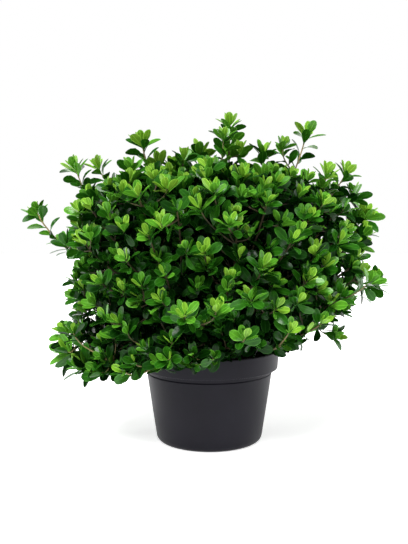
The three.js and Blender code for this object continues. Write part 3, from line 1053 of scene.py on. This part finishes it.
def leaf_mesh(name, arch, droop, fold):
    """One leaf of unit length along +Y, upper side up: a thin closed blade with a sharp edge."""
    shape = bmesh.new()
    half = leaf_width / leaf_length / 2
    thick = leaf_thickness / leaf_length
    stations = []
    for t, breadth in zip(leaf_stations, leaf_breadths):
        rise = arch * math.sin(math.pi * t) - droop * t**2
        edge = rise + fold * half * 2 * breadth
        left = shape.verts.new((-half * breadth, t, edge))
        right = shape.verts.new((half * breadth, t, edge))
        over = shape.verts.new((0, t, rise + thick / 2))
        under = shape.verts.new((0, t, rise - thick / 2))
        stations.append((left, over, right, under))
    tip = shape.verts.new((0, 1, -droop + fold * half * tip_fold))
    stations.append((tip,) * 4)
    join_rings(shape, stations)
    shape.faces.new(stations[0][::-1])
    bmesh.ops.recalc_face_normals(shape, faces=shape.faces)
    for face in shape.faces:
        face.smooth = True
    for a, b in zip(stations, stations[1:]):
        for side in (0, 2):
            shape.edges.get((a[side], b[side])).smooth = False
    mesh = mesh_of(shape, name)
    middles = [1.0 if abs(corner.co.x) < hairbreadth else 0.0 for corner in mesh.vertices]
    mark_points(mesh, "middle", "FLOAT", middles)
    return mesh


leaf_clearance = 0.002
leaf_belly = 0.6
young_roll = 50
aging_roll = 70
open_core = 0.2
open_core_share = 0.4
dim_core = 0.45
low_shade = 0.17
low_shade_top = 0.215
low_shade_fade = 0.065
youngest_tone = 0.15
tone_by_age = 2.7
shade_by_depth = 4.1
tone_by_chance = 1.3
leaves = {tone: [] for tone in leaf_tones}


def tone_of(age, exposure, chance):
    """The tone of a leaf: pale in a rosette's heart, darker when old, and darker with painted shade
    where it is little exposed.
    """
    darkness = youngest_tone + tone_by_age * age + shade_by_depth * (1 - exposure)
    darkness += tone_by_chance * (chance - 0.5)
    return list(leaf_tones)[min(max(int(darkness), 0), len(leaf_tones) - 1)]


def exposure_at(point):
    """How near a point is to the crown's outside, from 0 deep inside to 1 at its skin."""
    out = point - crown_middle
    skin = (crown_point(out.normalized(), 1) - crown_middle).length
    return min(1, max(0, (out.length / skin - dim_core) / (1 - dim_core)))


def add_leaf(root, facing, outward, spread, length, age, form, seed, hang):
    """Lists one leaf, unless it would run into the pot, hang too low or be bare deep in the crown."""
    along = (facing * math.cos(spread) + outward * math.sin(spread)).normalized()
    upper = (facing - along * facing.dot(along)).normalized()
    most_roll = math.radians(young_roll + aging_roll * age)
    upper = Matrix.Rotation(most_roll * (scatter(seed, 31) - 0.5), 3, along) @ upper
    across = along.cross(upper)
    end = root + along * length
    if not all(clear_of_pot(point, leaf_clearance) for point in (end, root.lerp(end, leaf_belly))):
        return
    if end.z < skirt(end) - hang:
        return
    exposure = exposure_at(end)
    if exposure < open_core and scatter(seed, 33) < open_core_share:
        return
    # Leaves low down are given a darker tone: painted shade.
    under_shade = low_shade * eased(low_shade_top - end.z, 0, low_shade_fade)
    tone = tone_of(age, exposure - under_shade, scatter(seed, 32))
    aim = Matrix((across, along, upper)).transposed().to_quaternion()
    leaves[tone].append({"root": root, "aim": aim, "length": length, "form": form})


least_vigour = 0.86
more_vigour = 0.26
least_in_rosette = 7
more_in_rosette = 3
rosette_step = 0.0011
inner_spread = 22
outer_spread = 38
spread_chance = 18
inner_length = 0.68
outer_length = 0.32
least_length = 0.9
more_length = 0.2
oldest_heart = 0.42
heart_age_rarity = 1.5
rosette_aging = 0.7
cupped_until = 0.6
first_down_stem = 0.010
last_on_stem = 0.3
least_stem_spread = 34
more_stem_spread = 30
least_stem_length = 0.84
more_stem_length = 0.24
least_stem_gap = 0.85
more_stem_gap = 0.5
stem_youth = 0.5
seeds_per_shoot = 31


def outward_from(axis, angle):
    """The direction that stands out from an axis at an angle round it."""
    side = axis.orthogonal().normalized()
    return side * math.cos(angle) + axis.cross(side) * math.sin(angle)


def add_rosette(rosette, number, turn, vigour):
    """The leaves round the tip of one shoot, and how many they are."""
    facing = rosette["facing"]
    in_rosette = least_in_rosette + int(more_in_rosette * scatter(number, 23))
    maturity = oldest_heart * scatter(number, 29) ** heart_age_rarity * (1 - rosette["youth"])
    aging = rosette_aging * (1 - rosette["youth"])
    for k in range(in_rosette):
        place = k / (in_rosette - 1)
        seed = number * seeds_per_shoot + k
        opening = inner_spread + outer_spread * place + spread_chance * (scatter(seed, 24) - 0.5)
        spread = math.radians(opening)
        outward = outward_from(facing, turn + k * golden_angle)
        length = leaf_length * vigour * (inner_length + outer_length * place)
        length *= least_length + more_length * scatter(seed, 25)
        root = rosette["path"][-1] - facing * (rosette_step * k)
        form = cupped if place < cupped_until else flat
        age = maturity + place * aging
        add_leaf(root, facing, outward, spread, length, age, form, seed, rosette["hang"])
    return in_rosette


def add_stem_leaves(rosette, number, turn, vigour, k):
    """The leaves that stand down the stem of one shoot, below its rosette of k leaves."""
    path = rosette["path"]
    last = len(path) - 1
    age = 1 - stem_youth * rosette["youth"]
    step = length_of(path) / last
    travelled = first_down_stem
    place = last - travelled / step
    while travelled < rosette["leafy"] and place > last_on_stem:
        seed = number * seeds_per_shoot + k
        low = min(int(place), last - 1)
        tangent = (path[low + 1] - path[low]).normalized()
        outward = outward_from(tangent, turn + k * golden_angle)
        spread = math.radians(least_stem_spread + more_stem_spread * scatter(seed, 26))
        length = leaf_length * vigour * (least_stem_length + more_stem_length * scatter(seed, 27))
        root = point_on(path, place)
        form = recurved if k % 2 else flat
        add_leaf(root, tangent, outward, spread, length, age, form, seed, rosette["hang"])
        travelled += rosette["gap"] * (least_stem_gap + more_stem_gap * scatter(seed, 28))
        place = last - travelled / step
        k += 1


for number, rosette in enumerate(rosettes):
    turn = 2 * math.pi * scatter(number, 21)
    vigour = rosette["size"] * (least_vigour + more_vigour * scatter(number, 22))
    in_rosette = add_rosette(rosette, number, turn, vigour)
    add_stem_leaves(rosette, number, turn, vigour, in_rosette)


def leaf_lines_group():
    """Draws a leaf's pale midrib, where its middle attribute is near 1, and a painted highlight along
    its margin, near 0.
    """
    inputs = {"Color": "Color", "Middle": "Float", "Rib Color": "Color", "Edge Highlight Color": "Color"}
    group, given, made = shader_group("Leaf lines", inputs, {"Color": "Color"})
    nodes = group.nodes
    rib_line = nodes.new("ShaderNodeMapRange")
    edge_highlight_line = nodes.new("ShaderNodeMapRange")
    ribbed = nodes.new("ShaderNodeMix")
    edged = nodes.new("ShaderNodeMix")
    preset(rib_line, {"From Min": 0.87, "From Max": 0.97, "To Max": 0.6})
    preset(edge_highlight_line, {"From Min": 0.04, "From Max": 0.24, "To Min": 0.75, "To Max": 0.0})
    ribbed.data_type = "RGBA"
    edged.data_type = "RGBA"
    links = [
        (given, "Middle", rib_line, "Value"),
        (given, "Middle", edge_highlight_line, "Value"),
        (rib_line, "Result", ribbed, "Factor"),
        (given, "Color", ribbed, "A"),
        (given, "Rib Color", ribbed, "B"),
        (edge_highlight_line, "Result", edged, "Factor"),
        (ribbed, "Result", edged, "A"),
        (given, "Edge Highlight Color", edged, "B"),
        (edged, "Result", made, "Color"),
    ]
    wired(group, links)
    return group


def leaf_tree():
    """Puts a leaf on each point of a source mesh, in the form, aim and length that the point gives."""
    sockets = {form.capitalize() + " Leaf": ("Object", None) for form in leaf_forms}
    tree, given, made = growing_tree("Leaves on points", sockets)
    nodes = tree.nodes
    join = tree.links.new
    choices = nodes.new("GeometryNodeJoinGeometry")
    for form in reversed(leaf_forms):
        leaf = nodes.new("GeometryNodeObjectInfo")
        whole = nodes.new("GeometryNodeGeometryToInstance")
        join(given.outputs[form.capitalize() + " Leaf"], leaf.inputs["Object"])
        join(leaf.outputs["Geometry"], whole.inputs["Geometry"])
        join(whole.outputs["Instances"], choices.inputs["Geometry"])
    place = nodes.new("GeometryNodeInstanceOnPoints")
    preset(place, {"Pick Instance": True})
    join(given.outputs["Geometry"], place.inputs["Points"])
    join(choices.outputs["Geometry"], place.inputs["Instance"])
    readings = [
        ("form", "INT", "Instance Index"),
        ("aim", "QUATERNION", "Rotation"),
        ("length", "FLOAT", "Scale"),
    ]
    for name, kind, socket in readings:
        reading = nodes.new("GeometryNodeInputNamedAttribute")
        reading.data_type = kind
        preset(reading, {"Name": name})
        join(reading.outputs["Attribute"], place.inputs[socket])
    dress_result(tree, place, "Instances", given, made)
    return tree


rib_paleness = 1.5
rib_lift = 0.004
# A painted highlight along each leaf's edge: paler than the leaf, and lifted by a share of its gloss.
edge_highlight_paleness = 1.9
edge_highlight_gloss = 0.10
form_leaves = {}
for form, bend in leaf_forms.items():
    name = form + "_leaf"
    form_leaves[form.capitalize() + " Leaf"] = placed(name, leaf_mesh(name, **bend))
leaf_lines = leaf_lines_group()
leaves_on_points = leaf_tree()
for tone, colours in leaf_tones.items():
    listed = leaves[tone]
    points = bpy.data.meshes.new(tone + "_leaf_points")
    points.from_pydata([leaf["root"] for leaf in listed], [], [])
    mark_points(points, "form", "INT", [leaf["form"] for leaf in listed])
    mark_points(points, "length", "FLOAT", [leaf["length"] for leaf in listed])
    mark_points(points, "aim", "QUATERNION", [part for leaf in listed for part in leaf["aim"]])
    blade = mottled(
        tone + "_leaf_blade",
        dark=colours["dark"],
        light=colours["light"],
        patch=45,
        grain=260,
        share=0.35,
        smoothest=0.14,
        roughest=0.30,
        bump=0.25,
        specular=colours["gloss"],
    )
    rib_color = [rib_paleness * part + rib_lift for part in colours["light"]]
    # The painted edge highlight.
    edge_highlight_shine = colours["gloss"] * edge_highlight_gloss
    edge_highlight_color = [edge_highlight_paleness * part + edge_highlight_shine for part in colours["light"]]
    middle = blade.node_tree.nodes.new("ShaderNodeAttribute")
    middle.attribute_name = "middle"
    settings = {"Rib Color": (*rib_color, 1), "Edge Highlight Color": (*edge_highlight_color, 1)}
    recolour(blade, leaf_lines, settings, middle.outputs["Fac"], "Middle")
    piece = grown(tone + "_leaves", points, leaves_on_points, {**form_leaves, "Material": blade})
    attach(piece, "root")
    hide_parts(*mass_nodes)
for form_leaf in form_leaves.values():
    bpy.data.objects.remove(form_leaf)


# The setting
# A plain white sweep under soft studio light. It glows, so that it stays white in the picture, but
# sheds less of that light on the plant. The camera stands in front and looks slightly down.
floor_reach = 6
paper_white = (0.97, 0.97, 0.97, 1)
white_light = (1, 1, 1, 1)
floor_corners = [(x * floor_reach, y * floor_reach, 0) for x, y in ((-1, -1), (1, -1), (1, 1), (-1, 1))]
floor_mesh = bpy.data.meshes.new("studio_floor")
floor_mesh.from_pydata(floor_corners, [], [(0, 1, 2, 3)])
floor = placed("studio_floor", floor_mesh)
white_sweep = bpy.data.materials.new("white_sweep")
white_sweep.use_nodes = True
sweep_shader = white_sweep.node_tree.nodes["Principled BSDF"]
preset(sweep_shader, {"Base Color": paper_white, "Roughness": 0.7, "Emission Color": white_light})
floor_mesh.materials.append(white_sweep)

studio = bpy.data.worlds.new("studio")
studio.use_nodes = True
studio_glow = studio.node_tree.nodes["Background"]
preset(studio_glow, {"Color": white_light})
bpy.context.scene.world = studio


def glow_as_seen(tree, socket, shed, seen):
    """Sets how strongly a white surface glows: less in the light it sheds than in the picture."""
    path = tree.nodes.new("ShaderNodeLightPath")
    strength = tree.nodes.new("ShaderNodeMapRange")
    preset(strength, {"To Min": shed, "To Max": seen})
    tree.links.new(path.outputs["Is Camera Ray"], strength.inputs["Value"])
    tree.links.new(strength.outputs["Result"], socket)


glow_as_seen(white_sweep.node_tree, sweep_shader.inputs["Emission Strength"], shed=0.45, seen=0.60)
glow_as_seen(studio.node_tree, studio_glow.inputs["Strength"], shed=0.14, seen=1.0)

lamps = [
    {"name": "key", "azimuth": 248, "elevation": 54, "spread": 32, "strength": 4.4},
    {"name": "fill", "azimuth": 300, "elevation": 30, "spread": 90, "strength": 0.5},
    {"name": "left_edge", "azimuth": 168, "elevation": 14, "spread": 60, "strength": 1.9},
    {"name": "right_edge", "azimuth": 12, "elevation": 14, "spread": 60, "strength": 1.9},
]
for lamp in lamps:
    far_light = bpy.data.lights.new(lamp["name"], "SUN")
    far_light.angle = math.radians(lamp["spread"])
    far_light.energy = lamp["strength"]
    aim = direction_of(lamp["azimuth"], lamp["elevation"]).to_track_quat("Z", "Y")
    placed(lamp["name"], far_light).rotation_euler = aim.to_euler()

camera_tilt = 4.0
camera_data = bpy.data.cameras.new("camera")
camera_data.sensor_width = 36
camera_data.lens = 48.5
camera = placed("camera", camera_data)
camera.location = (-0.008, -1.10, 0.33)
camera.rotation_euler = (math.radians(90 - camera_tilt), 0, 0)
bpy.context.scene.camera = camera
bpy.context.scene.view_settings.view_transform = "Standard"
